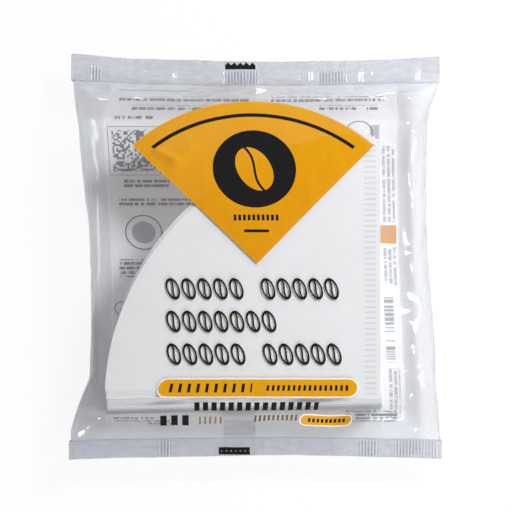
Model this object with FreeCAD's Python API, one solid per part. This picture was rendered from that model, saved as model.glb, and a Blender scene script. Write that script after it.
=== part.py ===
"""A sealed pack of folded cone coffee filters, lying on its back.

A tube of clear film is closed by a crimped seal at each end and by a fin seam
down the middle of its back. It holds a stack of paper filters. Each filter is
one sheet folded in two along its straight lower edge, joined along its other
straight edge by a crimped seam, and open along its arc. The front filters are
fanned a little against the squared stack behind them.

Millimetres. X runs across the pack, Y from its bottom seal to its top seal,
and Z up from the surface that the pack lies on.
"""

import FreeCAD
import Part

import math
import os

# One folded filter: two plies with a thin gap, closed at the fold and the seam
FILTER_RADIUS = 130.0
FILTER_ANGLE = 88.0
PLY = 0.1
PLY_GAP = 0.035
SEAM_WIDTH = 7.0

# Crimp marks pressed across the seam of the front filter
MARK_PITCH = 2.7
MARK_WIDTH = 0.6
MARK_LENGTH = 5.0
MARK_INSET = 2.0
MARK_DEPTH = 0.05

# Stack
FILTER_COUNT = 100
FILTER_SPACING = 0.01
RIM_FACETS = 12
SHIFT_X = 0.35
SHIFT_Y = 0.3
SHIFT_TURN = 0.12

# Fan of the front filters: the squared stack is turned and moved against the
# front filter, and each loose filter stands at a share of the way between
FAN_TURN = 3.4
FAN_X = 1.0
FAN_Y = 3.9
LOOSE_SHARES = (0.0, 0.33, 0.6)

# Film tube, and how far its walls stand apart where they meet at a fold or seal
FILM = 0.2
FOLD_GAP = 0.5
SEAL_EDGE = 0.5

# Room in the tube beyond the stack
STACK_CLEARANCE = 0.1
WIDTH_ROOM = 46.0
LENGTH_ROOM = 48.0
CORNER_FROM_RIGHT = 29.0
CORNER_FROM_BOTTOM = 15.8
PANEL_ROOM = 0.5
PANEL_ROOM_RIGHT = 8.0
FOLD_DRAW = 9.5
ROUND_FACETS = 6

# End seals
BOTTOM_CRIMP = 8.0
TOP_CRIMP = 7.0
TOP_MARGIN = 5.0
CRIMP_PITCH = 1.6
CRIMP_HEIGHT = 0.45

# Fin seam, folded flat against the back
FIN_WIDTH = 15.0
FIN_EDGE = 0.0

# Places that follow from the sizes above
FILTER_THICKNESS = 2 * PLY + PLY_GAP
FILTER_PITCH = FILTER_THICKNESS + FILTER_SPACING
STACK_HEIGHT = FILTER_COUNT * FILTER_PITCH
FIN_THICKNESS = 2 * FILM
STACK_FLOOR = FIN_THICKNESS + FILM + STACK_CLEARANCE
BAG_MIDDLE = STACK_FLOOR + STACK_HEIGHT / 2
RISE = STACK_HEIGHT / 2 + STACK_CLEARANCE - FOLD_GAP / 2

HALF_WIDTH = (FILTER_RADIUS + WIDTH_ROOM) / 2
BODY_LENGTH = FILTER_RADIUS + LENGTH_ROOM
FULL_LENGTH = BOTTOM_CRIMP + BODY_LENGTH + TOP_CRIMP + TOP_MARGIN
BODY_BOTTOM = BOTTOM_CRIMP - FULL_LENGTH / 2
BODY_TOP = BODY_BOTTOM + BODY_LENGTH
CORNER_X = HALF_WIDTH - CORNER_FROM_RIGHT
CORNER_Y = BODY_BOTTOM + CORNER_FROM_BOTTOM
FOLD_WAY = 90.0 + FILTER_ANGLE

# The flat front panel covers the stack
STACK_TIP_Y = CORNER_Y + FAN_Y + FILTER_RADIUS * math.sin(math.radians(FOLD_WAY + FAN_TURN))
PANEL_LEFT = CORNER_X - FILTER_RADIUS - PANEL_ROOM
PANEL_RIGHT = CORNER_X + FAN_X + PANEL_ROOM_RIGHT
PANEL_BOTTOM = min(CORNER_Y, STACK_TIP_Y) - PANEL_ROOM - SHIFT_Y

# Rings of the tube: share of the way from the bottom seal to the top seal, how
# far the left and the right fold are drawn in there as shares of FOLD_DRAW, and
# the share of the full height reached there
PANEL_START = (PANEL_BOTTOM - BODY_BOTTOM) / BODY_LENGTH
RINGS = (
    (0.0, 0.0, 0.0, 0.0),
    (0.028, 0.0, 0.04, 0.38),
    (PANEL_START, 0.42, 0.13, 1.0),
    (0.167, 1.0, 0.21, 1.0),
    (0.532, 0.9, 0.59, 1.0),
    (0.871, 0.34, 0.61, 1.0),
    (0.927, 0.21, 0.48, 1.0),
    (0.978, 0.06, 0.08, 0.42),
    (1.0, 0.0, 0.0, 0.0),
)


def box(x0, x1, y0, y1, z0, z1):
    """A block between two corners."""
    return Part.makeBox(x1 - x0, y1 - y0, z1 - z0, FreeCAD.Vector(x0, y0, z0))


def face(points):
    """A flat face with straight edges."""
    return Part.Face(Part.makePolygon(points + points[:1]))


def ring(y, left_in, right_in, share, inset):
    """The corners of one cross-section of the tube.

    inset is 0 for the outside of the film and FILM for its inside.
    """
    base = FOLD_GAP / 2 + FILM - inset
    left = -HALF_WIDTH + left_in + inset
    right = HALF_WIDTH - right_in - inset
    rounds = (
        (left, PANEL_LEFT, 1, 1),
        (right, PANEL_RIGHT, 1, -1),
        (right, PANEL_RIGHT, -1, 1),
        (left, PANEL_LEFT, -1, -1),
    )
    points = []
    for fold_x, panel_x, side, order in rounds:
        for step in range(ROUND_FACETS + 1)[::order]:
            turn = math.pi / 2 * step / ROUND_FACETS
            x = fold_x + (panel_x - fold_x) * (1 - math.cos(turn))
            z = BAG_MIDDLE + side * (base + share * RISE * math.sin(turn))
            points.append(FreeCAD.Vector(x, y, z))
    return points


def tube(inset):
    """The body of the bag between its seals, skinned in small flat facets."""
    rings = []
    for way, left_in, right_in, share in RINGS:
        y = BODY_BOTTOM + way * BODY_LENGTH
        if inset:
            y = min(max(y, BODY_BOTTOM + SEAL_EDGE), BODY_TOP - SEAL_EDGE)
        rings.append(ring(y, FOLD_DRAW * left_in, FOLD_DRAW * right_in, share, inset))
    faces = [face(rings[0]), face(rings[-1])]
    for near, far in zip(rings, rings[1:]):
        for a, b, c, d in zip(near, near[1:] + near[:1], far[1:] + far[:1], far):
            faces.append(face([a, b, c]))
            faces.append(face([a, c, d]))
    solid = Part.Solid(Part.Shell(faces))
    if solid.Volume < 0:
        solid.reverse()
    return solid


def crimp_band(y0, y1):
    """Two layers of film pressed together into ribs that run along Y."""
    folds = 2 * round(2 * HALF_WIDTH / CRIMP_PITCH)
    upper = []
    lower = []
    for fold in range(folds + 1):
        x = HALF_WIDTH * (2 * fold / folds - 1)
        z = BAG_MIDDLE + CRIMP_HEIGHT / 2 * (1 if fold % 2 else -1)
        upper.append(FreeCAD.Vector(x, y0, z + FILM))
        lower.append(FreeCAD.Vector(x, y0, z - FILM))
    return face(upper + lower[::-1]).extrude(FreeCAD.Vector(0, y1 - y0, 0))


def top_margin():
    """The plain lip beyond the top seal, where both layers flatten again."""
    root_y = BODY_TOP + TOP_CRIMP
    root_z = FOLD_GAP / 2 + FILM
    corners = (
        (root_y, root_z),
        (root_y + TOP_MARGIN, FILM),
        (root_y + TOP_MARGIN, -FILM),
        (root_y, -root_z),
    )
    side = [FreeCAD.Vector(-HALF_WIDTH, y, BAG_MIDDLE + z) for y, z in corners]
    return face(side).extrude(FreeCAD.Vector(2 * HALF_WIDTH, 0, 0))


def fin_part(shape):
    """The stretch of the fin seam that lies against the back of shape."""
    roof = BAG_MIDDLE + CRIMP_HEIGHT
    room = box(FIN_EDGE - FIN_WIDTH, FIN_EDGE, -FULL_LENGTH, FULL_LENGTH, -FIN_THICKNESS, roof)
    return shape.translated(FreeCAD.Vector(0, 0, -FIN_THICKNESS)).common(room)


def film_bag():
    """The film tube with its end seals and the fin seam on its back."""
    walls = [
        tube(0.0),
        crimp_band(BODY_BOTTOM - BOTTOM_CRIMP, BODY_BOTTOM),
        crimp_band(BODY_TOP, BODY_TOP + TOP_CRIMP),
        top_margin(),
    ]
    fin = [fin_part(wall) for wall in walls]
    bag = walls[0].fuse(walls[1:] + fin).removeSplitter()
    return bag.cut(tube(FILM).removeSplitter())


def rim_point(angle, z):
    """A point of a filter's rim, the filter's corner being at the origin."""
    turn = math.radians(angle)
    return FreeCAD.Vector(FILTER_RADIUS * math.cos(turn), FILTER_RADIUS * math.sin(turn), z)


def sector(z0, thickness):
    """A flat sector with a true arc for its rim."""
    corner = FreeCAD.Vector(0, 0, z0)
    start = rim_point(90, z0)
    middle = rim_point(90 + FILTER_ANGLE / 2, z0)
    end = rim_point(FOLD_WAY, z0)
    outline = Part.Wire(
        [
            Part.makeLine(corner, start),
            Part.Arc(start, middle, end).toShape(),
            Part.makeLine(end, corner),
        ]
    )
    return Part.Face(outline).extrude(FreeCAD.Vector(0, 0, thickness))


def fold_edge():
    """The half-round edge where the sheet turns back on itself."""
    way = math.radians(FOLD_WAY)
    along = FreeCAD.Vector(math.cos(way), math.sin(way), 0)
    out = FreeCAD.Vector(-math.sin(way), math.cos(way), 0)
    radius = FILTER_THICKNESS / 2
    low = FreeCAD.Vector(0, 0, 0)
    nose = FreeCAD.Vector(0, 0, radius) + out * radius
    high = FreeCAD.Vector(0, 0, FILTER_THICKNESS)
    profile = Part.Wire([Part.Arc(low, nose, high).toShape(), Part.makeLine(high, low)])
    return Part.Face(profile).extrude(along * (FILTER_RADIUS - radius))


def seam_marks():
    """The row of short pressed lines across the seam."""
    count = int((FILTER_RADIUS - 2 * MARK_INSET) / MARK_PITCH)
    marks = []
    for row in range(count):
        y = MARK_INSET + (row + 0.5) * MARK_PITCH
        marks.append(
            box(
                -MARK_INSET - MARK_LENGTH, -MARK_INSET,
                y - MARK_WIDTH / 2, y + MARK_WIDTH / 2,
                FILTER_THICKNESS - MARK_DEPTH, FILTER_THICKNESS + MARK_DEPTH,
            )
        )
    return marks


def folded_filter(marked):
    """One filter: two plies, a round fold, a closed seam and an open rim."""
    gap = sector(PLY, PLY_GAP)
    gap.translate(FreeCAD.Vector(-SEAM_WIDTH, PLY, 0))
    body = sector(0.0, FILTER_THICKNESS).fuse(fold_edge()).cut(gap)
    if marked:
        body = body.cut(Part.makeCompound(seam_marks()))
    return body.removeSplitter()


def packed_filter():
    """One filter of the squared stack, with its rim in straight stretches."""
    rim = [rim_point(90 + FILTER_ANGLE * i / RIM_FACETS, 0) for i in range(RIM_FACETS + 1)]
    return face([FreeCAD.Vector(0, 0, 0)] + rim).extrude(FreeCAD.Vector(0, 0, FILTER_THICKNESS))


def placed(shape, place, share, turn, dx, dy):
    """shape set into the stack. place counts from the front filter, at 0."""
    shape = shape.copy()
    shape.rotate(FreeCAD.Vector(0, 0, 0), FreeCAD.Vector(0, 0, 1), share * FAN_TURN + turn)
    z = STACK_FLOOR + (FILTER_COUNT - 1 - place) * FILTER_PITCH
    shape.translate(FreeCAD.Vector(CORNER_X + share * FAN_X + dx, CORNER_Y + share * FAN_Y + dy, z))
    return shape


def filter_stack():
    """The squared stack behind the loose filters, each filter a solid."""
    shape = packed_filter()
    solids = []
    for place in range(len(LOOSE_SHARES), FILTER_COUNT):
        turn = SHIFT_TURN * math.sin(2.3 * place)
        dx = SHIFT_X * math.sin(1.7 * place)
        dy = SHIFT_Y * math.cos(2.9 * place)
        solids.append(placed(shape, place, 1.0, turn, dx, dy))
    return Part.makeCompound(solids)


def main():
    os.makedirs("parts", exist_ok=True)
    film_bag().exportStep("parts/film_bag.step")
    filter_stack().exportStep("parts/filter_stack.step")
    for place, share in enumerate(LOOSE_SHARES):
        name = f"loose_filter_{place}" if place else "front_filter"
        shape = placed(folded_filter(place == 0), place, share, 0, 0, 0)
        shape.exportStep(f"parts/{name}.step")


main()
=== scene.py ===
"""Dresses the sealed pack of cone coffee filters.

The clear film is a flat tube of film that a cloth simulation settles round the
stack, so its drape and slack come from its own flat size. The seals and the fin
follow the settled film, and the main folds of the corners and sides are pressed
in afterwards. All print is drawn in flat film places, in millimetres from the
pack's middle.
"""

import math

import bpy
import numpy as np
from mathutils import Matrix, Vector


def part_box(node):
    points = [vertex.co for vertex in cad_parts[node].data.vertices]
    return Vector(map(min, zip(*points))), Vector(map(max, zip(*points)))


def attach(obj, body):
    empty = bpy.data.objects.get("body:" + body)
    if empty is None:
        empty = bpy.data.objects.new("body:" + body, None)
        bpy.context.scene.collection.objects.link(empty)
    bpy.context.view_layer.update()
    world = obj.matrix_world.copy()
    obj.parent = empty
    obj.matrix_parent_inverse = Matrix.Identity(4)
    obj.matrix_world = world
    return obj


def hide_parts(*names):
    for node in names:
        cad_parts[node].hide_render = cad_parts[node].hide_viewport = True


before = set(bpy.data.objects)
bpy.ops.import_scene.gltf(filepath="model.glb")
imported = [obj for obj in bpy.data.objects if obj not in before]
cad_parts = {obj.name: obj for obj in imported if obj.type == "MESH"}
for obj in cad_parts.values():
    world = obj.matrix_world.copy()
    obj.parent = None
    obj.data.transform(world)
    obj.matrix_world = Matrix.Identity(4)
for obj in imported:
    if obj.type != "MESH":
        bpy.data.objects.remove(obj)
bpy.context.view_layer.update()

bl_info = {
    "name": "Coffee filter pack",
    "version": (1, 0, 0),
    "blender": (4, 5, 0),
    "location": "View3D > Sidebar > Filter pack",
    "description": "Builds a sealed film pack of folded cone coffee filters",
    "category": "Object",
}

MM = 0.001
BAG_LOW, BAG_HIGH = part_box("film_bag")
FRONT_LOW, FRONT_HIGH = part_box("front_filter")
STACK_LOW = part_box("filter_stack")[0]
BODY = "root"

# Where the film's parts lie in the formed pack
MIDDLE_Z = 12.95 * MM
BACK_Z = 0.4 * MM
PANEL_LEFT, PANEL_RIGHT = -71.5 * MM, 68.0 * MM
PANEL_BOTTOM, PANEL_TOP = -76.2 * MM, 74.0 * MM
BODY_BOTTOM = BAG_LOW.y + 8.0 * MM
BODY_TOP = BAG_HIGH.y - 12.0 * MM

# The stack's own places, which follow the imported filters
CORNER = Vector((FRONT_HIGH.x, FRONT_LOW.y + 0.12 * MM, 0.0))
FILTER_TURN = 88.0
FILTER_PITCH = 0.245 * MM
LOOSE_NODES = (
    ("front_sheet", "front_filter"),
    ("loose_sheet_1", "loose_filter_1"),
    ("loose_sheet_2", "loose_filter_2"),
)
# How far the loose filters are fanned towards the squared stack's place
LOOSE_SHARES = (0.0, 0.33, 0.6)
FAN_TURN = 3.4
FAN_SHIFT = Vector((1.0, 3.9, 0.0)) * MM
# How much the stacked filters stray: turn in degrees, then X and Y
STRAY_TURN, STRAY_X, STRAY_Y = 0.12, 0.35 * MM, 0.3 * MM

# The film's mesh size, its simulation, where its fin ends, and the middles of
# both walls across the UV map
GRID = 3.0 * MM
SIM_SCALE = 10.0
SIM_FRAMES = 50
FIN_RIGHT = 0.0
FRONT_U, BACK_U = 0.25, 0.75
# Distance within which a point counts as on a plane
NEAR = 0.1 * MM


def length(name, description, default):
    """A size in metres that a user may change."""
    return bpy.props.FloatProperty(name=name, description=description, default=default, unit="LENGTH")


def colour(name, description, default):
    """A colour that a user may change."""
    return bpy.props.FloatVectorProperty(
        name=name, description=description, default=default, subtype="COLOR", size=3)


class PackSizes(bpy.types.PropertyGroup):
    """Sizes of the film and of the paper."""

    flat_width: length("Flat width", "Width of the empty film tube laid flat", BAG_HIGH.x - BAG_LOW.x)
    bottom_seal: length("Bottom seal", "Depth of the crimped seal at the bottom", 8.0 * MM)
    top_seal: length("Top seal", "Depth of the crimped seal at the top", 7.0 * MM)
    top_lip: length("Top lip", "Plain film beyond the top seal", 5.0 * MM)
    bottom_slope: length("Bottom slope", "Film between the bottom seal and the flat front", 19.4 * MM)
    top_slope: length("Top slope", "Film between the top seal and the flat front", 18.0 * MM)
    rib_pitch: length("Rib pitch", "Distance between two ribs of a seal", 1.5 * MM)
    rib_height: length("Rib height", "Height of a seal's ribs", 0.8 * MM)
    fin_width: length("Fin width", "Width of the fin seam on the back", 15.0 * MM)
    filter_radius: length("Filter radius", "Length of a filter's straight edges", 130.0 * MM)
    filter_thickness: length("Filter thickness", "Thickness of one folded filter", 0.235 * MM)
    mark_pitch: length("Mark pitch", "Distance between two crimp marks of a filter's seam", 2.7 * MM)
    filter_count: bpy.props.IntProperty(
        name="Filters", description="Number of filters in the pack", default=100)


class PackColours(bpy.types.PropertyGroup):
    """Colours of the film, its print and the paper."""

    film: colour("Film", "Tint of the clear film", (0.40, 0.43, 0.515))
    orange: colour("Orange", "Orange-yellow print", (0.71, 0.335, 0.004))
    deep_orange: colour("Deep orange", "Orange-yellow print in its darker parts", (0.68, 0.265, 0.004))
    black: colour("Black", "Dark print", (0.012, 0.011, 0.012))
    grey: colour("Grey", "Small print on the back", (0.035, 0.05, 0.085))
    paper: colour("Paper", "White filter paper", (0.90, 0.90, 0.905))


def sizes():
    return bpy.context.scene.pack_sizes


def colours():
    return bpy.context.scene.pack_colours


# Materials


class Value:
    """A shader value. Arithmetic on it adds Math nodes."""

    def __init__(self, tree, socket):
        self.tree, self.socket = tree, socket

    def math(self, operation, *others, clamp=False):
        node = self.tree.nodes.new("ShaderNodeMath")
        node.operation, node.use_clamp = operation, clamp
        for socket, value in zip(node.inputs, (self, *others)):
            if isinstance(value, Value):
                self.tree.links.new(value.socket, socket)
            else:
                socket.default_value = value
        return Value(self.tree, node.outputs[0])

    def __add__(self, other):
        return self.math("ADD", other)

    def __sub__(self, other):
        return self.math("SUBTRACT", other)

    def __rsub__(self, other):
        return (self * -1.0) + other

    def __mul__(self, other):
        return self.math("MULTIPLY", other)

    def __truediv__(self, other):
        return self.math("DIVIDE", other)

    def __abs__(self):
        return self.math("ABSOLUTE")

    def __mod__(self, other):
        return self.math("FLOORED_MODULO", other)

    def floor(self):
        return self.math("FLOOR")

    def most(self, other):
        return self.math("MAXIMUM", other)

    def least(self, other):
        return self.math("MINIMUM", other)

    def above(self, limit):
        return self.math("GREATER_THAN", limit)

    def equals(self, other):
        return self.math("COMPARE", other, 0.1)

    def hypot(self, other):
        return (self * self + other * other).math("SQRT")

    def inside(self, edge=0.12):
        """1 where a distance in mm is below 0, fading over edge."""
        return self.math("MULTIPLY_ADD", -1.0 / edge, 0.5, clamp=True)


class Shader:
    """The nodes of one material, or of the world."""

    def __init__(self, name, tree=None):
        if tree is None:
            self.material = bpy.data.materials.new(name)
            self.material.use_nodes = True
            tree = self.material.node_tree
        self.tree = tree
        tree.nodes.clear()

    def node(self, kind, settings=None, values=None):
        """Adds a node, sets its settings, then sets or links its sockets."""
        node = self.tree.nodes.new("ShaderNode" + kind)
        for key, value in (settings or {}).items():
            setattr(node, key, value)
        for key, value in (values or {}).items():
            socket = node.inputs[key]
            source = value.socket if isinstance(value, Value) else value
            if isinstance(source, bpy.types.NodeSocket):
                self.tree.links.new(source, socket)
            else:
                if socket.type == "RGBA" and not isinstance(source, float):
                    source = (*source, 1.0)[:4]
                socket.default_value = source
        return node

    def value(self, kind, output, settings=None, values=None):
        return Value(self.tree, self.node(kind, settings, values).outputs[output])

    def axes(self, source):
        split = self.node("SeparateXYZ", values={0: source})
        return [Value(self.tree, split.outputs[i]) for i in range(3)]

    def object_mm(self):
        """X, Y and Z of the object in millimetres."""
        return [axis * (1 / MM) for axis in self.axes(self.node("TexCoord").outputs["Object"])]

    def film_mm(self, back=False):
        """Across and along the flat film in millimetres."""
        width = sizes().flat_width / MM
        u, v, _ = self.axes(self.node("TexCoord").outputs["UV"])
        return (u - (BACK_U if back else FRONT_U)) * (2 * width), (v - 0.5) * (2 * width)

    def vector(self, x, y, z=0.0):
        return self.node("CombineXYZ", values={0: x, 1: y, 2: z}).outputs[0]

    def noise(self, vector, scale, detail=2.0, roughness=0.5):
        return self.value("TexNoise", "Fac", None, {
            "Vector": vector, "Scale": scale, "Detail": detail, "Roughness": roughness})

    def mixed(self, fac, first, second):
        """A colour between two colours."""
        return self.node("Mix", {"data_type": "RGBA"}, {0: fac, 6: first, 7: second}).outputs[2]

    def blend(self, fac, first, second):
        """A shader between two shader nodes."""
        return self.node("MixShader", values={0: fac, 1: first.outputs[0], 2: second.outputs[0]})

    def done(self, surface):
        """Puts a shader node on the output and returns the material."""
        self.node("OutputMaterial", values={0: surface.outputs[0]})
        return self.material


def box_distance(x, y, x0, x1, y0, y1):
    """Signed distance to a rectangle."""
    across = abs(x - (x0 + x1) / 2) - (x1 - x0) / 2
    along = abs(y - (y0 + y1) / 2) - (y1 - y0) / 2
    return across.most(along)


def pill_distance(x, y, x0, x1, y0, y1):
    """Signed distance to a bar with round ends."""
    radius = (y1 - y0) / 2
    across = (abs(x - (x0 + x1) / 2) - (x1 - x0) / 2 + radius).most(0.0)
    return across.hypot(y - (y0 + y1) / 2) - radius


def either(*masks):
    total = masks[0]
    for mask in masks[1:]:
        total = total.most(mask)
    return total


def dashes(x, y, x0, x1, y0, y1, pitch, duty):
    """A row of short upright dashes. duty is the inked share of the pitch."""
    cell = abs((x - x0) % pitch - pitch / 2) - pitch * duty / 2
    return box_distance(x, y, x0, x1, y0, y1).most(cell).inside()


# The slit of a bean: its swing and turns, and how far it reaches towards the rim
SLIT_SWING, SLIT_TURNS, SLIT_REACH = 0.22, 2.6, 0.94


def bean(x, y, half_width, half_height, stroke):
    """The outline of a coffee bean with its winding slit."""
    ring = (x / half_width).hypot(y / half_height)
    outline = abs(ring - 1.0) * half_width - stroke / 2
    bend = (y * (SLIT_TURNS / half_height)).math("SINE") * (half_width * SLIT_SWING)
    slit = (abs(x - bend) - stroke / 2).most((ring - SLIT_REACH) * half_width)
    return outline.least(slit)


WHITE = (1.0, 1.0, 1.0)
FILM_ROUGHNESS = 0.14
FILM_IOR = 1.36
BODY_ROUGHNESS = 0.5
# Haze added where the film is seen edge on, the strongest mirror, and how much
# of it the inner side of the film loses
SLANT_HAZE, MOST_MIRROR, INNER_LOSS = 0.4, 0.3, 0.7
# Haze of each layer of film that is seen from the front
FRONT_HAZE, BACK_HAZE, SEAL_HAZE = 0.07, 0.26, 0.3
# Cover from which a place of the film counts as printed
PRINTED = 0.02


def film_shader(shader, ink, printed, cover, haze, bump=None):
    """Glossy clear film, hazier where it is seen at a slant, that print covers."""
    base = shader.mixed(printed, tuple(colours().film), ink)
    slant = shader.value("LayerWeight", "Facing", None, {"Blend": 0.5})
    body = slant * slant * SLANT_HAZE + haze
    if cover is not None:
        body = body.most(cover)
    surface = {"Normal": bump} if bump is not None else {}
    clear = shader.node("BsdfTransparent", values={"Color": WHITE})
    solid = shader.node("BsdfPrincipled", values={
        "Base Color": base, "Roughness": BODY_ROUGHNESS, "Specular IOR Level": 0.0, **surface})
    gloss = shader.node("BsdfGlossy", values={"Color": WHITE, "Roughness": FILM_ROUGHNESS, **surface})
    mirror = shader.value("Fresnel", 0, None, {"IOR": FILM_IOR, **surface}).least(MOST_MIRROR)
    mirror = mirror * (1.0 - shader.value("NewGeometry", "Backfacing") * INNER_LOSS)
    return shader.done(shader.blend(mirror, shader.blend(body, clear, solid), gloss))


def wrinkle_bump(shader, x, y):
    """Fine creases in the film."""
    fine = shader.noise(shader.vector(x, y * 0.6), scale=0.09, detail=3.0, roughness=0.6)
    return shader.node("Bump", values={"Strength": 0.35, "Distance": 1.2 * MM, "Height": fine}).outputs[0]


# Print of the front wall
FAN_APEX = (-0.2, -8.1)
FAN_RADIUS = 81.8
FAN_HALF_ANGLE = math.radians(43.4)
# The black arc in the fan: from the fan's arc, from its sides, and half its stroke
ARC_INSET, ARC_END, ARC_HALF_STROKE = 7.0, 6.0, 0.9
# The fan turns to deep orange below this Y, over this many millimetres
DEEP_FROM, DEEP_FADE = 60.0, 150.0
# The emblem: X, Y and radius of its disc, and the bean in it
EMBLEM = (0.0, 39.5, 19.5)
EMBLEM_BEAN, EMBLEM_LEAN = (8.5, 12.5, 1.2), 28
EMBLEM_DASHES = (-11.0, 11.0, 13.5, 16.5, 2.2, 0.6)
EMBLEM_LINE = (-6.0, 6.0, 7.5, 9.0)
# The title: number of each row, its count of beans, and the cell that is bare
# between two words
ROW_TOP, ROW_PITCH, ROW_LEFT, BEAN_PITCH = -12.6, 16.3, -43.8, 7.45
ROW_BEANS = ((0.0, 11.0, 5.0), (1.0, 7.0, 20.0), (2.0, 11.0, 5.0))
TITLE_BEAN, BEAN_LEAN = (2.65, 4.9, 0.8), 18
ORANGE_BAR = (-46.2, 45.3, -74.8, -65.6)
ORANGE_PILL = (20.6, 44.8, -89.2, -84.0)
RIM_HALF_STROKE, RIM_COLOUR = 0.3, (0.9, 0.9, 0.9)
ORANGE_COVER, RIM_COVER = 0.97, 0.8
# Rows of dashes: X and Y of the row, pitch, duty, and strength of the ink
SMALL_DASHES = (
    (-42.0, -3.0, -72.4, -68.0, 4.1, 0.34, 1.0),
    (3.0, 41.0, -71.6, -68.8, 2.4, 0.5, 1.0),
    (-29.2, 28.2, -81.6, -77.4, 3.9, 0.62, 1.0),
    (-45.3, -30.2, -88.8, -83.8, 5.1, 0.6, 1.0),
    (-27.0, -15.0, -88.2, -84.6, 2.4, 0.4, 0.75),
    (-1.2, 19.2, -87.0, -84.0, 2.1, 0.5, 0.85),
    (24.0, 41.6, -87.5, -85.7, 2.0, 0.6, 1.0),
)


def rotated(x, y, degrees):
    turn = math.radians(degrees)
    return x * math.cos(turn) + y * math.sin(turn), y * math.cos(turn) - x * math.sin(turn)


def title_beans(x, y):
    """Three rows of outlined beans."""
    down = (ROW_TOP - y) / ROW_PITCH
    row = down.floor()
    right = (x - ROW_LEFT) / BEAN_PITCH
    cell = right.floor()
    local_x = (right - cell - 0.5) * BEAN_PITCH
    local_y = (row + 0.5 - down) * ROW_PITCH
    outline = bean(*rotated(local_x, local_y, BEAN_LEAN), *TITLE_BEAN)
    count = gap = 0.0
    for number, beans, skipped in ROW_BEANS:
        here = row.equals(number)
        count = here * beans + count
        gap = here * skipped + gap
    kept = cell.above(-0.5) * (count - cell).above(0.5) * (1.0 - cell.equals(gap))
    return outline.inside() * kept


def front_film():
    """The printed front wall."""
    shader = Shader("front_film")
    paint = colours()
    x, y = shader.film_mm()

    across, along = abs(x - FAN_APEX[0]), y - FAN_APEX[1]
    side = across * math.cos(FAN_HALF_ANGLE) - along * math.sin(FAN_HALF_ANGLE)
    from_apex = across.hypot(along)
    fan = (from_apex - FAN_RADIUS).most(side).inside()

    ex, ey = x - EMBLEM[0], y - EMBLEM[1]
    disc = (ex.hypot(ey) - EMBLEM[2]).inside()
    bx, by = rotated(ex, ey, EMBLEM_LEAN)
    seed = bean(bx, by, *EMBLEM_BEAN).inside()
    seed_body = ((bx / EMBLEM_BEAN[0]).hypot(by / EMBLEM_BEAN[1]) - 1.0).inside(edge=0.02)
    arc = (abs(from_apex - (FAN_RADIUS - ARC_INSET)) - ARC_HALF_STROKE).most(side + ARC_END).inside()
    emblem = either(
        disc * (1.0 - seed_body), disc * seed, arc,
        dashes(x, y, *EMBLEM_DASHES), pill_distance(x, y, *EMBLEM_LINE).inside())

    bar = pill_distance(x, y, *ORANGE_BAR)
    pill = pill_distance(x, y, *ORANGE_PILL)
    orange = either(fan, bar.inside(), pill.inside())
    small = either(*[dashes(x, y, *row) * strength for *row, strength in SMALL_DASHES])
    rim = either(*[(abs(edge) - RIM_HALF_STROKE).inside() for edge in (bar, pill)])
    dark = either(emblem, title_beans(x, y), small)
    cloud = shader.noise(shader.vector(x, y), scale=0.03)
    shade = (cloud * 0.5 + (DEEP_FROM - y) / DEEP_FADE).math("MULTIPLY", fan, clamp=True)
    ink = shader.mixed(shade, tuple(paint.orange), tuple(paint.deep_orange))
    ink = shader.mixed(dark, ink, tuple(paint.black))
    ink = shader.mixed(rim, ink, RIM_COLOUR)
    cover = either(orange * ORANGE_COVER, dark, rim * RIM_COVER)
    return film_shader(shader, ink, cover.above(PRINTED), cover, FRONT_HAZE, wrinkle_bump(shader, x, y))


# Print of the back wall, which shows through the front: boxes of X and Y
GREEKED_ROWS = (
    (-64.0, -2.6, 82.6, 85.2), (7.8, 61.4, 82.4, 85.6),
    (-57.0, -21.6, 78.0, 80.8), (30.6, 58.0, 78.2, 80.8), (-64.0, -46.0, 73.0, 75.6),
    (-61.0, -39.6, 38.9, 43.4), (-63.8, -30.0, 28.9, 33.4), (-65.0, -52.4, -6.2, 2.8),
    (-65.6, -45.3, -80.2, -76.2), (-50.0, -36.0, -84.0, -78.0), (40.0, 63.8, -80.0, -73.0),
)
UPRIGHT_ROWS = ((59.0, 65.6, 21.4, 60.0), (59.0, 65.6, -10.2, 8.8), (59.6, 65.0, -76.9, -51.8))
LINE_PITCH, LINE_MIDDLE = 2.3, 1.5
MODULE_BOX, MODULE_SIZE = (-65.4, -45.4, 47.0, 68.0), 0.95
MODULE_FRAME, FRAME_HALF_STROKE = (-67.2, -43.6, 45.2, 69.8), 0.15
STRIPE_BOX, STRIPE_SIZE = (59.0, 63.4, -48.8, -16.2), 0.6
THIN_LINE = (-65.0, -31.0, 88.0, 88.4)
GREY_BLOCK = (54.3, 58.5, 63.5, 70.5)
ORANGE_BLOCK = (58.4, 66.0, 10.8, 19.9)
# Circles: X, Y, radius and half the stroke
SPOT = (-52.9, 16.3, 5.6)
RINGS = ((-52.9, 16.3, 8.5, 0.35), (-64.2, -21.8, 3.2, 0.3), (49.0, 66.0, 6.4, 0.3))
# A pale panel on the back wall: print backing behind the small print, and painted light where the wall
# lies flat on the floor
BACKING_AND_LIGHT_PANEL = (-68.6, 66.8, -79.0, 90.5)
BACKING_AND_LIGHT_COLOUR, BLOCK_COLOUR = (0.86, 0.88, 0.91), (0.62, 0.30, 0.08)
BACKING_AND_LIGHT_COVER, BLOCK_COVER, SMALL_PRINT_COVER = 0.34, 0.9, 0.66
# Strengths of the paler inks of the small print, and the cover at which its
# colour is full, as a factor
PALE, MEDIUM, INK_GAIN = 0.7, 0.8, 1.5
# Scale of the greeked letters' noise, and the level above which it is inked
LETTER_NOISE, LETTER_LEVEL = 0.75, 0.45


def greeked(shader, along, across, rows):
    """Lines of small print, of which only the look from afar is kept."""
    line = (across / LINE_PITCH).floor()
    letters = shader.noise(shader.vector(along, line * 3.7), LETTER_NOISE).above(LETTER_LEVEL)
    return rows * ((across % LINE_PITCH) - LINE_MIDDLE).inside(edge=0.2) * letters


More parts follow.
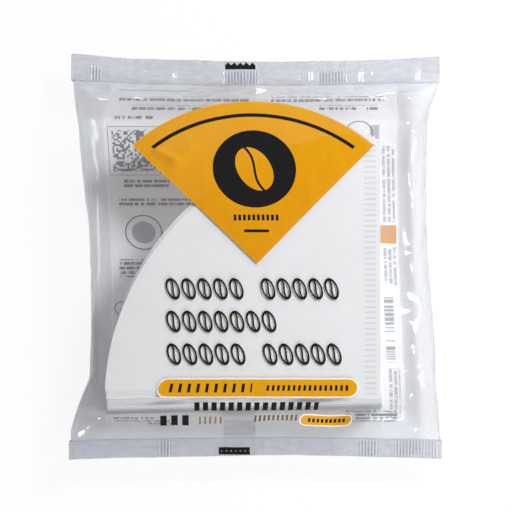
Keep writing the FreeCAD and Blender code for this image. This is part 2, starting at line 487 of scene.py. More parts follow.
def back_film():
    """The back wall with its small print on a pale panel, which is print backing and also painted light
    where the wall lies flat on the floor.
    """
    shader = Shader("back_film")
    x, y = shader.film_mm(back=True)

    def box(*sides):
        return box_distance(x, y, *sides).inside()

    def circle(at_x, at_y, radius):
        return (x - at_x).hypot(y - at_y) - radius

    rows = either(*[box(*row) for row in GREEKED_ROWS])
    upright = either(*[box(*row) for row in UPRIGHT_ROWS])
    cells = shader.vector((x / MODULE_SIZE).floor(), (y / MODULE_SIZE).floor())
    modules = shader.value("TexWhiteNoise", "Value", {"noise_dimensions": "2D"}, {"Vector": cells})
    stripes = shader.value(
        "TexWhiteNoise", "Value", {"noise_dimensions": "1D"}, {"W": (y / STRIPE_SIZE).floor()})
    rings = either(*[(abs(circle(*ring)) - half_stroke).inside() for *ring, half_stroke in RINGS])
    dark = either(
        greeked(shader, x, y, rows), greeked(shader, y, x, upright) * PALE,
        modules.above(0.5) * box(*MODULE_BOX), stripes.above(0.5) * box(*STRIPE_BOX) * MEDIUM,
        (abs(box_distance(x, y, *MODULE_FRAME)) - FRAME_HALF_STROKE).inside(), box(*THIN_LINE),
        box(*GREY_BLOCK) * PALE, circle(*SPOT).inside() * MEDIUM, rings,
    ) * SMALL_PRINT_COVER
    block = box(*ORANGE_BLOCK) * BLOCK_COVER
    # Painted light: the pale panel lightens the back wall where it lies flat on the floor, so the lifted
    # film beside it stays darker
    backing_and_light = box_distance(x, y, *BACKING_AND_LIGHT_PANEL).inside(edge=1.0) * BACKING_AND_LIGHT_COVER
    ink = shader.mixed(dark.math("MULTIPLY", INK_GAIN, clamp=True), BACKING_AND_LIGHT_COLOUR, tuple(colours().grey))
    ink = shader.mixed(block, ink, BLOCK_COLOUR)
    cover = either(dark, block, backing_and_light)
    return film_shader(shader, ink, cover.above(PRINTED), cover, BACK_HAZE, wrinkle_bump(shader, x, y))


# Black register marks on the seals: the upper ends in teeth, the lower holds dots
TOP_MARK = (-14.4, 0.0, 94.0, 99.0)
TOOTH_START, TOOTH_PITCH, TOOTH_SLOPE, TOOTH_TIP = -14.5, 2.9, 1.1, 97.6
LOW_MARK = (-17.3, -2.6, -98.4, -95.0)
DOT_START, DOT_PITCH, DOT_RADIUS, DOT_Y = -17.0, 2.2, 0.35, -96.7
MARK_COVER, DOT_LOSS = 0.95, 0.7
# How much the grain of the film adds to its haze
SEAL_GRAIN, FIN_GRAIN = 0.12, 0.05


def seal_film():
    """The crimped seals, two layers of film thick, with their black register marks."""
    shader = Shader("seal_film")
    x, y, _ = shader.object_mm()
    grain = shader.noise(shader.vector(x * 0.4, y), scale=0.5)
    teeth = abs((x - TOOTH_START) % TOOTH_PITCH - TOOTH_PITCH / 2) * -TOOTH_SLOPE + TOOTH_TIP
    top = box_distance(x, y, *TOP_MARK).most(y - teeth).inside()
    low = box_distance(x, y, *LOW_MARK).inside()
    dots = (abs((x - DOT_START) % DOT_PITCH - DOT_PITCH / 2).hypot(y - DOT_Y) - DOT_RADIUS).inside()
    mark = either(top, low * (1.0 - dots * DOT_LOSS))
    haze = grain * SEAL_GRAIN + SEAL_HAZE
    return film_shader(shader, tuple(colours().black), mark.above(PRINTED), mark * MARK_COVER, haze)


def fin_film():
    """The plain double film of the fin."""
    shader = Shader("fin_film")
    x, y, _ = shader.object_mm()
    grain = shader.noise(shader.vector(x, y * 0.3), scale=0.4)
    return film_shader(shader, WHITE, 0.0, None, grain * FIN_GRAIN)


# The darkest share of the paper's colour, and the two greys of its crimped seam, which paint the shade of
# the crimp marks
DARK_PAPER = 0.96
SEAM_SHADE_GREYS = ((0.70, 0.71, 0.73), (0.78, 0.79, 0.80))


def filter_paper():
    """White creped paper, with the faint run of the sheets' edges in the stack's side."""
    shader = Shader("filter_paper")
    light = tuple(colours().paper)
    x, y, z = shader.object_mm()
    fibres = shader.noise(shader.vector(x, y * 2.2, z), scale=1.6, detail=4.0, roughness=0.65)
    cloud = shader.noise(shader.vector(x, y, z), scale=0.05)
    edges = shader.noise(shader.vector(x * 0.02, y * 0.02, z), scale=2.6)
    tone = (fibres * 0.25 + cloud * 0.35 + edges * 0.4).math("MULTIPLY_ADD", 3.0, -1.0, clamp=True)
    base = shader.mixed(tone, tuple(DARK_PAPER * c for c in light), light)
    bump = shader.node("Bump", values={"Strength": 0.3, "Distance": 0.12 * MM, "Height": fibres})
    return shader.done(shader.node("BsdfPrincipled", values={
        "Base Color": base, "Roughness": 0.85, "Specular IOR Level": 0.2, "Normal": bump.outputs[0]}))


def seam_paper_with_shade():
    """The paper where a crimp mark crosses the seam: pressed glossier, with a grey that paints the shade
    of the pressed ridge.
    """
    shader = Shader("seam_paper_with_shade")
    x, y, z = shader.object_mm()
    grain = shader.noise(shader.vector(x, y, z), scale=2.0)
    # Painted shade: the grey of the ridges stands for the shade of the crimp marks
    base = shader.mixed(grain, *SEAM_SHADE_GREYS)
    return shader.done(shader.node("BsdfPrincipled", values={"Base Color": base, "Roughness": 0.5}))


# Meshes


def active_only(obj):
    """Selects obj alone and makes it active."""
    bpy.ops.object.select_all(action="DESELECT")
    obj.select_set(True)
    bpy.context.view_layer.objects.active = obj


def apply_modifier(obj, kind, **settings):
    """Adds a modifier to the active object, sets it and applies it."""
    bpy.ops.object.modifier_add(type=kind)
    modifier = obj.modifiers[-1]
    for key, value in settings.items():
        setattr(modifier, key, value)
    bpy.ops.object.modifier_apply(modifier=modifier.name)


def join_onto(obj, others):
    """Joins the others into obj."""
    active_only(obj)
    for other in others:
        other.select_set(True)
    bpy.ops.object.join()


def linked(name, mesh):
    """A new object at the origin that shows the mesh."""
    obj = bpy.data.objects.new(name, mesh)
    bpy.context.scene.collection.objects.link(obj)
    return obj


def mesh_object(name, points, faces):
    mesh = bpy.data.meshes.new(name)
    mesh.from_pydata([tuple(p) for p in points], [], [tuple(f) for f in faces])
    mesh.update()
    return linked(name, mesh)


def finish_piece(obj, node, materials):
    """Gives a finished piece its materials and body, and hides the imported part that it stands for."""
    for material in materials:
        obj.data.materials.append(material)
    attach(obj, BODY)
    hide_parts(node)


def side_folds():
    """Rows of y, left fold x and right fold x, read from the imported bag."""
    points = np.array([v.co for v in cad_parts["film_bag"].data.vertices])
    body = points[(points[:, 1] > BODY_BOTTOM - NEAR) & (points[:, 1] < BODY_TOP + NEAR)]
    rows = []
    for y in np.unique(body[:, 1].round(5)):
        near = body[np.abs(body[:, 1] - y) < NEAR / 5][:, 0]
        if near.min() < PANEL_LEFT and near.max() > PANEL_RIGHT:
            rows.append((y, near.min(), near.max()))
    return np.array(rows).T


FOLDS = side_folds()
SIDE_STEPS = 24
# X between which the back wall lies on the floor under the stack and stays there
PINNED_LEFT, PINNED_RIGHT = -68 * MM, 62 * MM


def cross_section(y, share, count, side):
    """count + 1 points across one film wall, evenly spaced along its curve.

    share is the wall's part of the full height, and side is 1 for the front.
    """
    rows, lefts, rights = FOLDS
    left, right = np.interp(y, rows, lefts), np.interp(y, rows, rights)
    rise = share * (BAG_HIGH.z - MIDDLE_Z)
    turns = np.linspace(0, math.pi / 2, SIDE_STEPS)
    x = np.concatenate([
        left + (PANEL_LEFT - left) * (1 - np.cos(turns)),
        (right + (PANEL_RIGHT - right) * (1 - np.cos(turns)))[::-1],
    ])
    z = np.concatenate([rise * np.sin(turns), (rise * np.sin(turns))[::-1]])
    run = np.concatenate([[0], np.cumsum(np.hypot(np.diff(x), np.diff(z)))])
    at = np.linspace(0, run[-1], count + 1)
    return np.stack([
        np.interp(at, run, x), np.full(count + 1, y), MIDDLE_Z + side * np.interp(at, run, z),
    ], axis=1)


def grid_faces(index, turned):
    """Quads over a grid of point numbers."""
    faces = []
    for near, far in zip(index, index[1:]):
        for a, b, c, d in zip(near, near[1:], far[1:], far):
            faces.append((d, c, b, a) if turned else (a, b, c, d))
    return faces


class FilmGrid:
    """The film tube as a grid: front and back walls, and a strip at each seal.

    flat holds each point's place in the film laid flat, and start its place in
    a plain pillow, from which the simulation begins.
    """

    def __init__(self):
        p = sizes()
        self.width = p.flat_width
        self.low = PANEL_BOTTOM - p.bottom_slope
        self.high = PANEL_TOP + p.top_slope
        self.columns = round(self.width / GRID)
        self.rows = round((self.high - self.low) / GRID)
        self.flat, self.start, self.pins = [], [], []
        self.front = self.wall(1)
        self.back = self.wall(-1)
        self.bottom = self.strip(self.front[0], self.low, BODY_BOTTOM, -p.bottom_seal)
        self.top = self.strip(self.front[-1], self.high, BODY_TOP, p.top_seal + p.top_lip)
        self.faces = (
            grid_faces(self.front, False) + grid_faces(self.back, True)
            + grid_faces(self.bottom, True) + grid_faces(self.top, False)
        )

    def point(self, flat, start):
        self.flat.append(flat)
        self.start.append(start)
        return len(self.flat) - 1

    def wall(self, side):
        """One wall. The back shares its border with the front."""
        knots = (self.low, PANEL_BOTTOM, PANEL_TOP, self.high)
        grid = []
        for i in range(self.rows + 1):
            v = self.low + (self.high - self.low) * i / self.rows
            y = np.interp(v, knots, (BODY_BOTTOM, PANEL_BOTTOM, PANEL_TOP, BODY_TOP))
            share = np.interp(v, knots, (0.0, 1.0, 1.0, 0.0))
            line = cross_section(y, share, self.columns, side)
            row = []
            for j in range(self.columns + 1):
                if side < 0 and (i in (0, self.rows) or j in (0, self.columns)):
                    row.append(self.front[i][j])
                    continue
                u = self.width * (j / self.columns - 0.5)
                row.append(self.point((u, v, 0), tuple(line[j])))
                lies = share == 1.0 and abs(line[j][2] - BACK_Z) < NEAR
                if side < 0 and lies and PINNED_LEFT < line[j][0] < PINNED_RIGHT:
                    self.pins.append(row[-1])
            grid.append(row)
        return grid

    def strip(self, joined, v, y, depth):
        """The single strip of film that a seal makes of both walls."""
        steps = max(2, round(abs(depth) / GRID))
        grid = [joined]
        for i in range(1, steps + 1):
            out = depth * i / steps
            row = []
            for j, root in enumerate(joined):
                u = self.width * (j / self.columns - 0.5)
                row.append(self.point((u, v + out, 0), (self.start[root][0], y + out, MIDDLE_Z)))
            grid.append(row)
        return grid


# The block's room round the stack, and its arc in steps of degrees
BLOCK_ROOM, BLOCK_LIFT = 0.4 * MM, 0.3 * MM
BLOCK_SHIFT = Vector((0.3, -0.3, 0.0)) * MM
ARC_STEPS, ARC_STEP = 24, 3.7


def stack_block():
    """The outline of the stack as a plain block for the film to lie on."""
    radius = sizes().filter_radius + BLOCK_ROOM
    corner = CORNER + BLOCK_SHIFT
    outline = [corner]
    for step in range(ARC_STEPS + 1):
        turn = math.radians(90 + ARC_STEP * step)
        outline.append(corner + Vector((math.cos(turn), math.sin(turn), 0)) * radius)
    count = len(outline)
    points = [(p.x, p.y, z) for z in (BACK_Z + BLOCK_LIFT, FRONT_HIGH.z) for p in outline]
    faces = [tuple(range(count))[::-1], tuple(range(count, 2 * count))]
    faces += [(i, (i + 1) % count, (i + 1) % count + count, i + count) for i in range(count)]
    return mesh_object("stack_sim", np.array(points) * SIM_SCALE, faces)


# The film as cloth, at SIM_SCALE
CLOTH = {
    "quality": 8, "mass": 0.005, "air_damping": 2.0, "tension_stiffness": 60, "compression_stiffness": 60,
    "shear_stiffness": 30, "bending_stiffness": 3, "tension_damping": 10, "compression_damping": 10,
    "bending_damping": 1, "vertex_group_mass": "pin", "pin_stiffness": 10,
}
COLLISION_GAP = 0.001
FLOOR_DROP = 0.2 * MM


def settle(grid):
    """Runs the film as cloth over the stack and returns its settled points."""
    scene = bpy.context.scene
    film = mesh_object("film_sim", np.array(grid.start) * SIM_SCALE, grid.faces)
    film.shape_key_add(name="start")
    rest = film.shape_key_add(name="rest")
    rest.data.foreach_set("co", (np.array(grid.flat) * SIM_SCALE).ravel())
    film.vertex_groups.new(name="pin").add(grid.pins, 1.0, "REPLACE")

    block = stack_block()
    bpy.ops.object.select_all(action="DESELECT")
    bpy.ops.mesh.primitive_plane_add(size=4.0, location=(0, 0, -FLOOR_DROP * SIM_SCALE))
    floor = bpy.context.active_object
    for collider in (block, floor):
        active_only(collider)
        bpy.ops.object.modifier_add(type="COLLISION")
        collider.collision.thickness_outer = COLLISION_GAP
        collider.collision.cloth_friction = 2.0

    active_only(film)
    bpy.ops.object.modifier_add(type="CLOTH")
    cloth = film.modifiers[-1]
    for key, value in CLOTH.items():
        setattr(cloth.settings, key, value)
    cloth.settings.rest_shape_key = rest
    cloth.settings.effector_weights.gravity = 0
    cloth.collision_settings.distance_min = COLLISION_GAP
    cloth.collision_settings.collision_quality = 3
    cloth.collision_settings.use_self_collision = False
    cloth.point_cache.frame_start = 1
    cloth.point_cache.frame_end = SIM_FRAMES
    for step in range(1, SIM_FRAMES + 1):
        scene.frame_set(step)
    settled = film.evaluated_get(bpy.context.evaluated_depsgraph_get()).to_mesh()
    points = np.zeros(len(settled.vertices) * 3)
    settled.vertices.foreach_get("co", points)
    scene.frame_set(1)
    for obj in (film, block, floor):
        bpy.data.objects.remove(obj)
    return points.reshape(-1, 3) / SIM_SCALE


# X and Y in mm of the outer edges of the seals, whose ends stand out
TOP_EDGE = ((-88, 102.2), (-60, 100.0), (-20, 98.2), (10, 98.0), (50, 98.7), (88, 100.2))
BOTTOM_EDGE = ((-88, -101.6), (-60, -100.0), (-10, -99.0), (20, -98.2), (60, -99.6), (88, -100.2))
# The taut film over the top filter: its height, and the share of what is above
# it that is drawn down
TAUT_Z, DRAWN_DOWN = FRONT_HIGH.z + 0.35 * MM, 0.75


def fit_outline(grid, points):
    """Draws the settled film's ends out to the edges of the seals, and its top taut."""
    points = points.copy()
    for edge, strip, start in ((TOP_EDGE, grid.top, PANEL_TOP), (BOTTOM_EDGE, grid.bottom, PANEL_BOTTOM)):
        outer = points[strip[-1]]
        aim = np.interp(outer[:, 0], *(np.array(edge).T * MM))
        gap = np.interp(points[:, 0], outer[:, 0], aim - outer[:, 1])
        share = np.clip((points[:, 1] - start) / (outer[:, 1].mean() - start), 0, 1)
        points[:, 1] += gap * share
    points[:, 2] -= np.maximum(points[:, 2] - TAUT_Z, 0) * DRAWN_DOWN
    return points


# Folds of the front wall: X and Y in mm of both ends, height and half width
FILM_FOLDS = (
    # Broad swells of the slope at the top
    (46.0, 80.0, 80.0, 79.0, 3.4, 8.0), (-80.0, 81.0, -52.0, 82.0, 2.2, 7.0),
    (-20.0, 84.0, 10.0, 84.0, 1.2, 5.0),
    # Corners: top right, bottom left, bottom right, top left
    (88.0, 88.0, 69.0, 64.0, 2.6, 2.2), (80.0, 89.0, 58.0, 70.0, -1.8, 2.5),
    (86.0, 76.0, 73.0, 60.0, -1.4, 2.0),
    (-88.0, -90.0, -77.0, -62.0, 2.2, 2.0), (-82.0, -91.0, -70.0, -74.0, -1.5, 2.2),
    (87.0, -90.0, 69.0, -73.0, 2.0, 2.0), (78.0, -90.0, 66.0, -76.0, -1.4, 2.0),
    (-87.0, 88.0, -72.0, 68.0, 1.8, 2.4), (-78.0, 88.0, -66.0, 72.0, -1.2, 2.0),
    # Over the fan
    (-49.0, 50.0, -35.0, 42.0, 0.8, 1.5), (-43.0, 38.0, -28.0, 52.0, 0.4, 3.0),
    # Along the right and left sides
    (77.0, 52.0, 72.0, 30.0, 0.8, 1.8), (79.0, -20.0, 75.0, -58.0, 0.7, 2.0),
    (-80.0, 50.0, -76.0, 12.0, 0.8, 2.2), (-79.0, -4.0, -77.0, -48.0, 0.8, 2.0),
)
# Folds are at their full height this many mm above the side folds, and fade out
# over one part in END_PARTS of their length at each end
FOLD_RISE, END_PARTS = 3.0, 5

# Waves of the slack film beside the stack: pitch in mm, way and phase; their
# height as a share of the pitch; and the box of X and Y outside which they
# grow, over SLACK_GROWTH mm
SLACK_WAVES = ((13.0, 1.2, 0.0), (19.0, 0.5, 1.0), (24.0, 2.2, 2.6), (9.0, 1.9, 4.0))
WAVE_SHARE = 0.027
TAUT_BOX = (-70, 68, -78, 74)
SLACK_GROWTH = 5


def press_folds(mesh):
    """Raises the folds and slack waves in the upper half of the film."""
    count = len(mesh.vertices)
    points = np.zeros(count * 3)
    mesh.vertices.foreach_get("co", points)
    points = points.reshape(count, 3) / MM
    upper = np.clip((points[:, 2] - MIDDLE_Z / MM) / FOLD_RISE, 0, 1)
    for x0, y0, x1, y1, height, half_width in FILM_FOLDS:
        run = np.array((x1 - x0, y1 - y0))
        away = points[:, :2] - (x0, y0)
        along = np.clip(away @ run / (run @ run), 0, 1)
        distance = np.hypot(*(away - along[:, None] * run).T)
        fade = np.clip(np.minimum(along, 1 - along) * END_PARTS, 0, 1)
        points[:, 2] += height * upper * fade * np.exp(-(distance / half_width) ** 2)
    x, y = points[:, 0], points[:, 1]
    left, right, bottom, top = TAUT_BOX
    slack = np.max([x - right, left - x, y - top, bottom - y], axis=0)
    for pitch, way, phase in SLACK_WAVES:
        run = (x * math.cos(way) + y * math.sin(way)) / pitch * 2 * math.pi
        height = WAVE_SHARE * pitch * np.clip(slack / SLACK_GROWTH, 0, 1)
        points[:, 2] += height * upper * np.sin(run + phase)
    mesh.vertices.foreach_set("co", (points * MM).ravel())
    mesh.update()


def slab(name, upper, lower, turned):
    """A closed thin slab between two grids of points."""
    rows, columns = upper.shape[:2]
    size = rows * columns
    index = np.arange(size).reshape(rows, columns)
    faces = grid_faces(index, turned) + grid_faces(index + size, not turned)
    loop = list(index[0]) + list(index[1:, -1]) + list(index[-1, -2::-1]) + list(index[-2:0:-1, 0])
    for a, b in zip(loop, loop[1:] + loop[:1]):
        side = (a, a + size, b + size, b)
        faces.append(side[::-1] if turned else side)
    return mesh_object(name, np.concatenate([upper.reshape(-1, 3), lower.reshape(-1, 3)]), faces)


# Stretches in mm where the seals' ribs are pressed deep, the height of the ribs
# elsewhere as a share, and the width over which that changes
DEEP_TOP = ((-78, -74), (-14.5, 1.5), (30.5, 42.5))
DEEP_BOTTOM = ((-45, -40), (49, 57.5), (66, 86))
SHALLOW, DEEP_FADE_WIDTH = 0.2, 2
# Rows of a band, columns of a rib, the fade of a rib's ends and half the film
BAND_ROWS, RIB_STEPS = 12, 4
RIB_FADE, BAND_HALF = 0.8 * MM, 0.12 * MM


def band_object(name, grid, points, strip, ribbed, deep):
    """A sealed band of film with ribs across it.

    The ribs run outwards as far as ribbed, and are deep in the stretches of deep.
    """
    p = sizes()
    places = [grid.flat[row[0]][1] for row in strip]
    depth = np.abs(np.array(places) - places[0])
    fine_rows = np.linspace(0, depth[-1], BAND_ROWS)
    count = round(grid.width / p.rib_pitch) * RIB_STEPS
    at = np.linspace(0, grid.columns, count + 1)
    surface = np.zeros((len(fine_rows), count + 1, 3))
    for axis in range(3):
        across = np.array([np.interp(at, range(grid.columns + 1), points[row, axis]) for row in strip])
        for j in range(count + 1):
            surface[:, j, axis] = np.interp(fine_rows, depth, across[:, j])
    wave = np.sin(np.arange(count + 1) * 2 * math.pi / RIB_STEPS)
    x = surface[0, :, 0] / MM
    wave *= SHALLOW + (1 - SHALLOW) * sum(
        np.clip(np.minimum(x - x0, x1 - x) / DEEP_FADE_WIDTH + 0.5, 0, 1) for x0, x1 in deep)
    fade = np.clip(np.minimum(fine_rows, ribbed - fine_rows) / RIB_FADE, 0, 1)
    surface[:, :, 2] += fade[:, None] * wave[None, :] * p.rib_height / 2
    half = np.array((0, 0, BAND_HALF))
    return slab(name, surface + half, surface - half, places[-1] < places[0])


# The fin's points across, and its two faces' depths under the film
FIN_COLUMNS = 6
FIN_DEPTHS = (0.05 * MM, 0.38 * MM)


def fin_object(grid, points):
    """The fin seam, a flat double strip under the back wall and both seals."""
    columns = np.linspace(FIN_RIGHT - sizes().fin_width, FIN_RIGHT, FIN_COLUMNS)
    lines = grid.bottom[:0:-1] + grid.back + grid.top[1:]
    path = np.array([
        [np.interp(columns, points[line, 0], points[line, axis]) for axis in range(3)] for line in lines])
    middle = path.mean(axis=2)
    step = np.gradient(middle[:, 1:], axis=0)
    down = np.stack([step[:, 1], -step[:, 0]], axis=1) / np.hypot(step[:, 0], step[:, 1])[:, None]
    layers = []
    for offset in FIN_DEPTHS:
        layers.append(np.stack([
            path[:, 0], path[:, 1] + down[:, :1] * offset, path[:, 2] + down[:, 1:] * offset], axis=2))
    return slab("film_fin", *layers, False)


def film_walls(grid, points):
    """The closed pillow of the front and back walls, with the film's flat place as UV."""
    used = sorted(set(sum(grid.front, []) + sum(grid.back, [])))
    index = {old: new for new, old in enumerate(used)}
    count = grid.rows * grid.columns
    faces = [tuple(index[v] for v in f) for f in grid.faces[:2 * count]]
    obj = mesh_object("film_walls", points[used], faces)
    mesh = obj.data
    layer = mesh.uv_layers.new(name="film")
    for poly in mesh.polygons:
        back = poly.index >= count
        poly.material_index = int(back)
        for loop in poly.loop_indices:
            x, y, _ = grid.flat[used[mesh.loops[loop].vertex_index]]
            u = x / grid.width / 2 + (BACK_U if back else FRONT_U)
            layer.data[loop].uv = (u, y / grid.width / 2 + 0.5)
    sealed = {index[v] for row in (grid.front[0], grid.front[-1]) for v in row}
    crease = mesh.attributes.new("crease_edge", "FLOAT", "EDGE")
    for edge in mesh.edges:
        if set(edge.vertices) <= sealed:
            crease.data[edge.index].value = 1.0
    corner = mesh.attributes.new("crease_vert", "FLOAT", "POINT")
    for row in (grid.front[0], grid.front[-1]):
        for end in (row[0], row[-1]):
            corner.data[index[end]].value = 1.0
    mesh.shade_smooth()
    active_only(obj)
    apply_modifier(obj, "SUBSURF", levels=1, render_levels=1)
    press_folds(mesh)
    return obj


class PACK_OT_film(bpy.types.Operator):
    """Settles the film round the stack and makes its walls, seals and fin."""

    bl_idname = "pack.film"
    bl_label = "Film bag"

    def execute(self, context):
        p = sizes()
        grid = FilmGrid()
        points = settle(grid)
        points = fit_outline(grid, points)
        seal = seal_film()
        walls = film_walls(grid, points)
        bottom = band_object("film_seal_bottom", grid, points, grid.bottom, p.bottom_seal, DEEP_BOTTOM)
        top = band_object("film_seal_top", grid, points, grid.top, p.top_seal, DEEP_TOP)
        fin = fin_object(grid, points)
        for piece, materials in (
            (walls, [front_film(), back_film()]), (bottom, [seal]), (top, [seal]), (fin, [fin_film()]),
        ):
            finish_piece(piece, "film_bag", materials)
        return {"FINISHED"}


# Points of the full circle that a filter's arc is a quarter of
FINE_RIM, PLAIN_RIM = 384, 192


def sheet_object(name, rim_points):
    """One folded filter, its corner at the origin and its seam edge along Y."""
    p = sizes()
    bpy.ops.object.select_all(action="DESELECT")
    bpy.ops.mesh.primitive_circle_add(
        vertices=rim_points, radius=p.filter_radius, fill_type="NGON", location=(0, 0, 0))
    obj = bpy.context.active_object
    obj.name = name
    bpy.ops.object.mode_set(mode="EDIT")
    way = math.radians(90 + FILTER_TURN)
    for normal in ((1, 0, 0), (-math.sin(way), math.cos(way), 0)):
        bpy.ops.mesh.select_all(action="SELECT")
        bpy.ops.mesh.bisect(plane_co=(0, 0, 0), plane_no=normal, clear_outer=True)
    bpy.ops.mesh.select_all(action="SELECT")
    bpy.ops.mesh.extrude_region_move(TRANSFORM_OT_translate={"value": (0, 0, p.filter_thickness)})
    bpy.ops.mesh.select_all(action="SELECT")
    bpy.ops.mesh.normals_make_consistent(inside=False)
    bpy.ops.object.mode_set(mode="OBJECT")
    return obj


def sheet_place(place):
    """Where a filter lies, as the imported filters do. place counts from the front."""
    if place < len(LOOSE_SHARES):
        share, turn, x, y = LOOSE_SHARES[place], 0.0, 0.0, 0.0
    else:
        share, turn = 1.0, STRAY_TURN * math.sin(2.3 * place)
        x, y = STRAY_X * math.sin(1.7 * place), STRAY_Y * math.cos(2.9 * place)
    height = STACK_LOW.z + (sizes().filter_count - 1 - place) * FILTER_PITCH
    at = CORNER + FAN_SHIFT * share + Vector((x, y, height))
    return Matrix.Translation(at) @ Matrix.Rotation(math.radians(share * FAN_TURN + turn), 4, "Z")


# A seam ridge: middle from the seam edge, length, width, height and bevel,
# and the first one's place in pitches
RIDGE_X = -4.6 * MM
RIDGE_SIZE = (5.6 * MM, 0.9 * MM, 0.14 * MM)
RIDGE_BEVEL = 0.05 * MM
FIRST_RIDGE = 0.9


def add_seam_marks(sheet):
    """Sets the row of short ridges on the seam of a filter."""
    p = sizes()
    bpy.ops.object.select_all(action="DESELECT")
    bpy.ops.mesh.primitive_cube_add(size=1.0, location=(RIDGE_X, 0, p.filter_thickness))
    ridge = bpy.context.active_object
    ridge.scale = RIDGE_SIZE
    bpy.ops.object.transform_apply(location=True, rotation=True, scale=True)
    apply_modifier(ridge, "BEVEL", width=RIDGE_BEVEL, segments=1)
    for poly in ridge.data.polygons:
        poly.material_index = 1
    for material in sheet.data.materials:
        ridge.data.materials.append(material)
    marks = []
    for row in range(int(p.filter_radius / p.mark_pitch) - 1):
        mark = linked("mark", ridge.data.copy())
        mark.data.transform(Matrix.Translation((0, (row + FIRST_RIDGE) * p.mark_pitch, 0)))
        marks.append(mark)
    bpy.data.objects.remove(ridge)
    join_onto(sheet, marks)


class PACK_OT_paper(bpy.types.Operator):
    """Makes the folded filters and stacks them."""

    bl_idname = "pack.paper"
    bl_label = "Filters"

    def execute(self, context):
        paper, seam = filter_paper(), seam_paper_with_shade()
        for place, (name, node) in enumerate(LOOSE_NODES):
            sheet = sheet_object(name, FINE_RIM)
            sheet.data.materials.append(paper)
            if place == 0:
                sheet.data.materials.append(seam)
                add_seam_marks(sheet)
            sheet.data.transform(sheet_place(place))
            finish_piece(sheet, node, [])
        stack = sheet_object("stack_sheets", PLAIN_RIM)
        plain = stack.data.copy()
        stack.data.transform(sheet_place(len(LOOSE_NODES)))
        copies = []
        for place in range(len(LOOSE_NODES) + 1, sizes().filter_count):
            copies.append(linked("sheet", plain.copy()))
            copies[-1].data.transform(sheet_place(place))
        join_onto(stack, copies)
        finish_piece(stack, "filter_stack", [paper])
        return {"FINISHED"}


# Stage

LAMPS = (  # name, place, energy, width, height, mirrored by the film
    ("key", (0.62, 0.4, 0.66), 9.1, 0.28, 0.28, True),
    ("strip_top", (0.22, 0.9, 0.22), 4.2, 0.3, 0.09, True),
    ("fill_front", (0.3, -0.88, 0.32), 6.4, 0.6, 0.25, False),
)
LENS, SENSOR, FRAME_WIDTH, ELEVATION = 800.0, 36.0, 242.7 * MM, math.radians(71)
AIM = Vector((0.24, 0.25, 12.5)) * MM
TRANSPARENT_BOUNCES = 48
# The floor's paint, its white glow to the eye, and how much of that glow is taken off where it is seen
# through the film; the glow left there is painted light under the bag
FLOOR_PAINT, FLOOR_GLOW, GLOW_LOSS = 0.95, 0.9, 0.64
# The world's light, and how much darker it is straight above
WORLD_LIGHT, TOP_LOSS = 0.86, 0.75


def light_path(shader, *names):
    """The most of some outputs of the ray that is being traced."""
    path = shader.node("LightPath")
    return either(*[Value(shader.tree, path.outputs[name]) for name in names])


def floor_paint():
    """White to the eye, and where it is seen through the film, its paint with a smaller glow, which is
    painted light on the floor under the bag.
    """
    shader = Shader("floor")
    glow = shader.node("Emission", values={"Color": WHITE, "Strength": 1.0})
    plain = shader.node("BsdfDiffuse", values={"Color": (FLOOR_PAINT, FLOOR_PAINT, FLOOR_PAINT)})
    seen = light_path(shader, "Is Camera Ray", "Is Glossy Ray", "Is Transmission Ray")
    through = light_path(shader, "Transparent Depth").above(0.5)
    # Painted light: seen through the film the floor still glows a little, which lifts the shade under the
    # bag
    return shader.done(shader.blend(seen * (FLOOR_GLOW - through * GLOW_LOSS), plain, glow))


def studio_world():
    """White to the eye, and a soft light and mirror image that are weaker at the left and above."""
    world = bpy.data.worlds.new("studio")
    world.use_nodes = True
    shader = Shader("studio", world.node_tree)
    x, _, z = shader.axes(shader.node("TexCoord").outputs["Generated"])
    tone = (x * 0.5 + 0.5) * (1.0 - z.most(0.0) * TOP_LOSS)
    light, mirrored, white = [
        shader.node("Background", values={"Color": WHITE, "Strength": strength})
        for strength in (tone * WORLD_LIGHT, tone, 1.0)]
    soft = shader.blend(light_path(shader, "Is Glossy Ray"), light, mirrored)
    seen = light_path(shader, "Is Camera Ray", "Is Transmission Ray")
    shader.node("OutputWorld", values={0: shader.blend(seen, soft, white).outputs[0]})
    return world


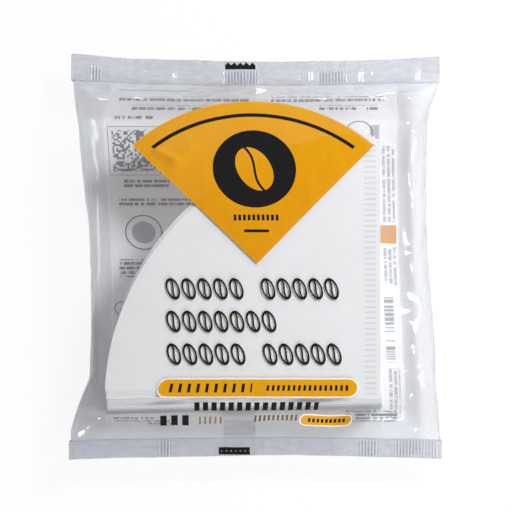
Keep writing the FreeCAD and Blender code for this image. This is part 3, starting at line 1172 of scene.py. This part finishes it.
class PACK_OT_stage(bpy.types.Operator):
    """Adds the floor, the lamps, the world and the camera."""

    bl_idname = "pack.stage"
    bl_label = "Stage"

    def execute(self, context):
        scene = context.scene
        bpy.ops.object.select_all(action="DESELECT")
        bpy.ops.mesh.primitive_plane_add(size=6.0, location=(0, 0, 0))
        floor = context.active_object
        floor.name = "floor"
        floor.data.materials.append(floor_paint())
        scene.world = studio_world()
        for name, place, energy, width, height, mirrored in LAMPS:
            lamp = bpy.data.lights.new(name, "AREA")
            lamp.shape, lamp.energy, lamp.size, lamp.size_y = "RECTANGLE", energy, width, height
            obj = linked(name, lamp)
            obj.location = place
            obj.rotation_euler = (-Vector(place)).to_track_quat("-Z", "Y").to_euler()
            obj.visible_glossy = mirrored
        camera = bpy.data.cameras.new("camera")
        camera.lens, camera.sensor_width, camera.clip_end = LENS, SENSOR, 50.0
        back = Vector((0, -math.cos(ELEVATION), math.sin(ELEVATION)))
        obj = linked("camera", camera)
        obj.location = AIM + back * (FRAME_WIDTH * LENS / SENSOR)
        obj.rotation_euler = (-back).to_track_quat("-Z", "Y").to_euler()
        scene.camera = obj
        scene.view_settings.view_transform = "Standard"
        scene.cycles.transparent_max_bounces = TRANSPARENT_BOUNCES
        return {"FINISHED"}


class PACK_PT_panel(bpy.types.Panel):
    """Lists the pack's operators, sizes and colours."""

    bl_idname = "PACK_PT_panel"
    bl_label = "Filter pack"
    bl_space_type = "VIEW_3D"
    bl_region_type = "UI"
    bl_category = "Filter pack"

    def draw(self, context):
        for operator in OPERATORS:
            self.layout.operator(operator.bl_idname)
        for group in (context.scene.pack_sizes, context.scene.pack_colours):
            for name in group.bl_rna.properties.keys():
                if name not in ("rna_type", "name"):
                    self.layout.prop(group, name)


OPERATORS = (PACK_OT_stage, PACK_OT_paper, PACK_OT_film)
CLASSES = (PackSizes, PackColours, *OPERATORS, PACK_PT_panel)


def register():
    for cls in CLASSES:
        bpy.utils.register_class(cls)
    bpy.types.Scene.pack_sizes = bpy.props.PointerProperty(type=PackSizes)
    bpy.types.Scene.pack_colours = bpy.props.PointerProperty(type=PackColours)


def unregister():
    del bpy.types.Scene.pack_colours
    del bpy.types.Scene.pack_sizes
    for cls in reversed(CLASSES):
        bpy.utils.unregister_class(cls)


def main():
    register()
    bpy.ops.pack.stage()
    bpy.ops.pack.paper()
    bpy.ops.pack.film()


if __name__ == "__main__":
    main()
